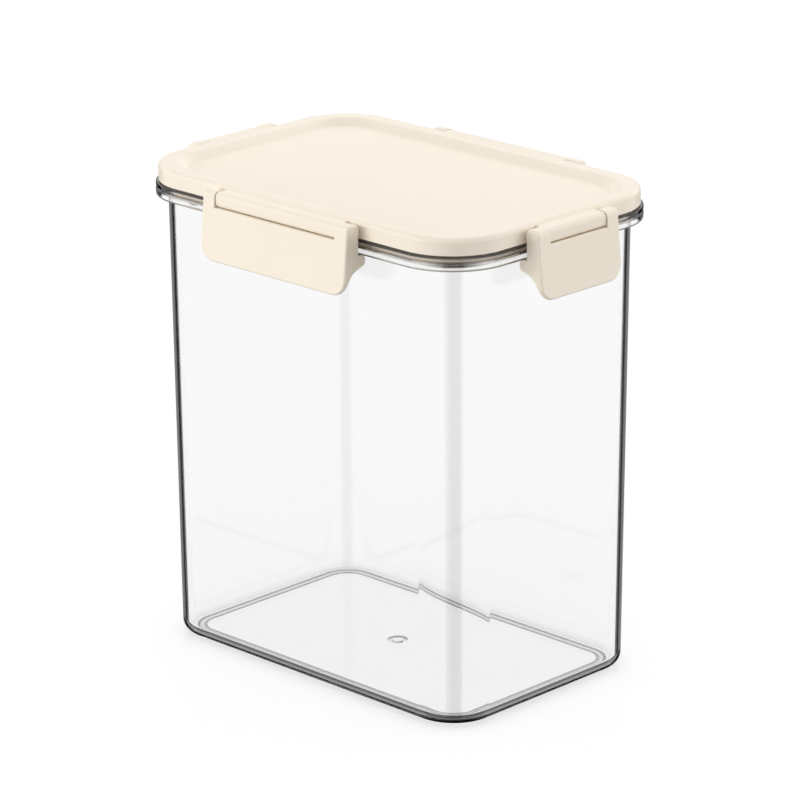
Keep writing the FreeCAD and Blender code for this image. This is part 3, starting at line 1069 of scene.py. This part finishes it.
@dataclass
class LatchedLid:
    """The lid with its four latches, whose solids keep their shape."""

    node: str = "lid"

    def build(self, material: bpy.types.Material) -> list[bpy.types.Object]:
        """Give the lid and its latches one finish.

        Args:
            material: the cream finish.

        Returns:
            The five solids.
        """
        return [dress(name, material) for name in (self.node, *(side.value for side in Side))]


# Studio

@dataclass(frozen=True)
class Viewpoint:
    """Where the photograph was taken from, as fitted to its edges.

    The place is in millimetres, the focal length in pixels of the picture and the clip range in metres.
    """

    place: Triple = (1015.64, -1036.40, 576.69)
    right: Triple = (0.71580, 0.69828, -0.00548)
    up: Triple = (-0.21614, 0.22901, 0.94912)
    focal: float = 4208.14
    picture: float = 800.0
    sensor: float = 36.0
    clip: Span = (0.05, 50.0)

    def back(self) -> Vector:
        """The direction from the canister to the camera."""
        return Vector(self.right).cross(Vector(self.up))

    def ahead(self) -> Vector:
        """The level direction that the camera looks along."""
        return -self.back().to_2d().normalized()

    def build(self) -> None:
        """Stand the camera in its place."""
        data = bpy.data.cameras.new("camera")
        data.sensor_width = self.sensor
        data.lens = self.focal / self.picture * self.sensor
        data.clip_start, data.clip_end = self.clip
        camera = bpy.data.objects.new("camera", data)
        bpy.context.scene.collection.objects.link(camera)
        axes = Matrix((self.right, self.up, self.back())).transposed().to_4x4()
        camera.matrix_world = Matrix.Translation(Vector(self.place) * MM) @ axes
        bpy.context.scene.camera = camera


@dataclass(frozen=True)
class Lamp:
    """A square soft lamp: its place in metres and its power."""

    name: str
    place: Triple
    watts: float


@dataclass
class Studio:
    """Camera, floor, lamps and background. Lengths in metres.

    Each card is a cosine with the direction that the camera looks along, and the level of grey there. Paths
    that cross more clear surfaces than the card depth meet white and no cards.
    """

    view: Viewpoint = Viewpoint()
    lamps: tuple[Lamp, ...] = (
        Lamp("key", (-0.9, -2.0, 0.5), 29.0),
        Lamp("side", (1.8, 1.0, 0.6), 13.0),
        Lamp("back", (0.1, 1.8, 1.2), 14.0),
        Lamp("back_left", (-1.3, 1.3, 1.2), 11.0),
    )
    lamp_size: float = 1.2
    lamp_aim: float = 0.1
    sky: float = 0.6
    floor_half: float = 8.0
    floor_drop: float = 0.0002
    floor_colour: float = 0.75
    floor_glow: float = 0.6
    floor_gloss: float = 0.06
    floor_roughness: float = 0.12
    cards: tuple[Span, ...] = (
        (-0.955, 0.0), (-0.93, 1.0), (0.61, 1.0), (0.645, 0.0), (0.84, 0.0), (0.90, 0.27))
    card_top: Span = (0.05, 0.25)
    card_depth: float = 3.5
    steep: Span = (-0.8, -0.5)
    steep_level: float = 0.05

    def floor_finish(self) -> bpy.types.Material:
        """Build the floor's white, which mirrored paths pass through to the cards.

        Returns:
            The material.
        """
        material, tree = new_material("floor_white")
        path = add_node(tree, "ShaderNodeLightPath")
        diffuse = add_node(tree, "ShaderNodeBsdfDiffuse")
        diffuse.inputs["Color"].default_value = grey(self.floor_colour)
        glow = add_node(tree, "ShaderNodeEmission")
        feed(tree, glow.inputs["Strength"], product(tree, looked_at(tree, path), self.floor_glow))
        lit = add_node(tree, "ShaderNodeAddShader")
        feed(tree, lit.inputs[0], diffuse.outputs[0])
        feed(tree, lit.inputs[1], glow.outputs[0])
        gloss = add_node(tree, "ShaderNodeBsdfGlossy")
        gloss.inputs["Roughness"].default_value = self.floor_roughness
        polished = mix_shaders(tree, self.floor_gloss, lit, gloss)
        through = add_node(tree, "ShaderNodeBsdfTransparent")
        surface(tree, mix_shaders(tree, mirrored(tree, path), polished, through))
        return material

    def floor(self) -> bpy.types.Object:
        """Lay a pale floor that keeps the canister's soft shadow.

        Returns:
            The floor.
        """
        half = self.floor_half
        corners = [(-half, -half, 0), (half, -half, 0), (half, half, 0), (-half, half, 0)]
        mesh = bpy.data.meshes.new("floor")
        mesh.from_pydata(corners, [], [(0, 1, 2, 3)])
        mesh.materials.append(self.floor_finish())
        floor = bpy.data.objects.new("floor", mesh)
        floor.location.z = -self.floor_drop
        bpy.context.scene.collection.objects.link(floor)
        return floor

    def surroundings(self, tree: bpy.types.NodeTree) -> bpy.types.NodeSocket:
        """Set dark cards low down at the sides and under the canister, and white everywhere else.

        Args:
            tree: the background's tree.

        Returns:
            The colour in each direction.
        """
        split = add_node(tree, "ShaderNodeSeparateXYZ")
        feed(tree, split.inputs[0], add_node(tree, "ShaderNodeTexCoord").outputs["Generated"])
        x, y, z = split.outputs
        ahead = self.view.ahead()
        cosine = maths(tree, "ADD", product(tree, x, ahead.x), product(tree, y, ahead.y))
        cosine = maths(tree, "DIVIDE", cosine, distance(tree, x, y))
        cards = add_node(tree, "ShaderNodeValToRGB")
        ramp = cards.color_ramp
        ramp.elements.remove(ramp.elements[0])
        for place, level in self.cards:
            ramp.elements.new((place + 1) / 2).color = grey(level)
        ramp.elements.remove(ramp.elements[-1])
        feed(tree, cards.inputs[0], remap(tree, cosine, (-1.0, 1.0), smooth=False))
        low = blend_colours(tree, remap(tree, z, self.steep), grey(self.steep_level), cards.outputs["Color"])
        return blend_colours(tree, remap(tree, z, self.card_top), low, grey(1.0))

    def background(self) -> None:
        """Set a white background, with cards that only mirrored paths through little plastic meet."""
        world = bpy.data.worlds.new("studio")
        bpy.context.scene.world = world
        world.use_nodes = True
        tree = world.node_tree
        tree.nodes.clear()
        path = add_node(tree, "ShaderNodeLightPath")
        near = maths(tree, "LESS_THAN", path.outputs["Transmission Depth"], self.card_depth)
        meets_cards = product(tree, mirrored(tree, path), near)
        seen = maths(tree, "MAXIMUM", looked_at(tree, path), path.outputs["Is Glossy Ray"])
        colour = blend_colours(tree, meets_cards, grey(1.0), self.surroundings(tree))
        light = add_node(tree, "ShaderNodeBackground")
        feed(tree, light.inputs["Color"], colour)
        feed(tree, light.inputs["Strength"], remap(tree, seen, (0.0, 1.0), (self.sky, 1.0), smooth=False))
        feed(tree, add_node(tree, "ShaderNodeOutputWorld").inputs["Surface"], light.outputs[0])

    def hang(self, lamp: Lamp, spared: bpy.types.Collection) -> None:
        """Hang one square soft lamp that points at the canister.

        Args:
            lamp: the lamp to hang.
            spared: what the lamp leaves to the even light of the background.
        """
        data = bpy.data.lights.new(lamp.name, "AREA")
        data.size = self.lamp_size
        data.energy = lamp.watts
        holder = bpy.data.objects.new(lamp.name, data)
        holder.location = lamp.place
        aim = Vector((0, 0, self.lamp_aim)) - holder.location
        holder.rotation_euler = aim.to_track_quat("-Z", "Y").to_euler()
        holder.light_linking.receiver_collection = spared
        holder.visible_glossy = False
        holder.visible_transmission = False
        bpy.context.scene.collection.objects.link(holder)

    def build(self) -> None:
        """Set the whole studio up."""
        bpy.context.scene.view_settings.view_transform = "Standard"
        self.view.build()
        self.background()
        spared = bpy.data.collections.new("spared_by_lamps")
        spared.objects.link(self.floor())
        spared.collection_objects[0].light_linking.link_state = "EXCLUDE"
        for lamp in self.lamps:
            self.hang(lamp, spared)


def main() -> None:
    """Build everything in order."""
    logging.basicConfig(level=logging.INFO)
    plan = Plan()
    body = CanisterBody(plan)
    pieces = [body.build(ClearPlastic().material(body))]
    pieces.append(SealRing(plan).build(SILICONE.material()))
    pieces += LatchedLid().build(CREAM.material())
    for piece in pieces:
        LOG.info("%s has %d faces", piece.name, len(piece.data.polygons))
    Studio().build()


if __name__ == "__main__":
    main()
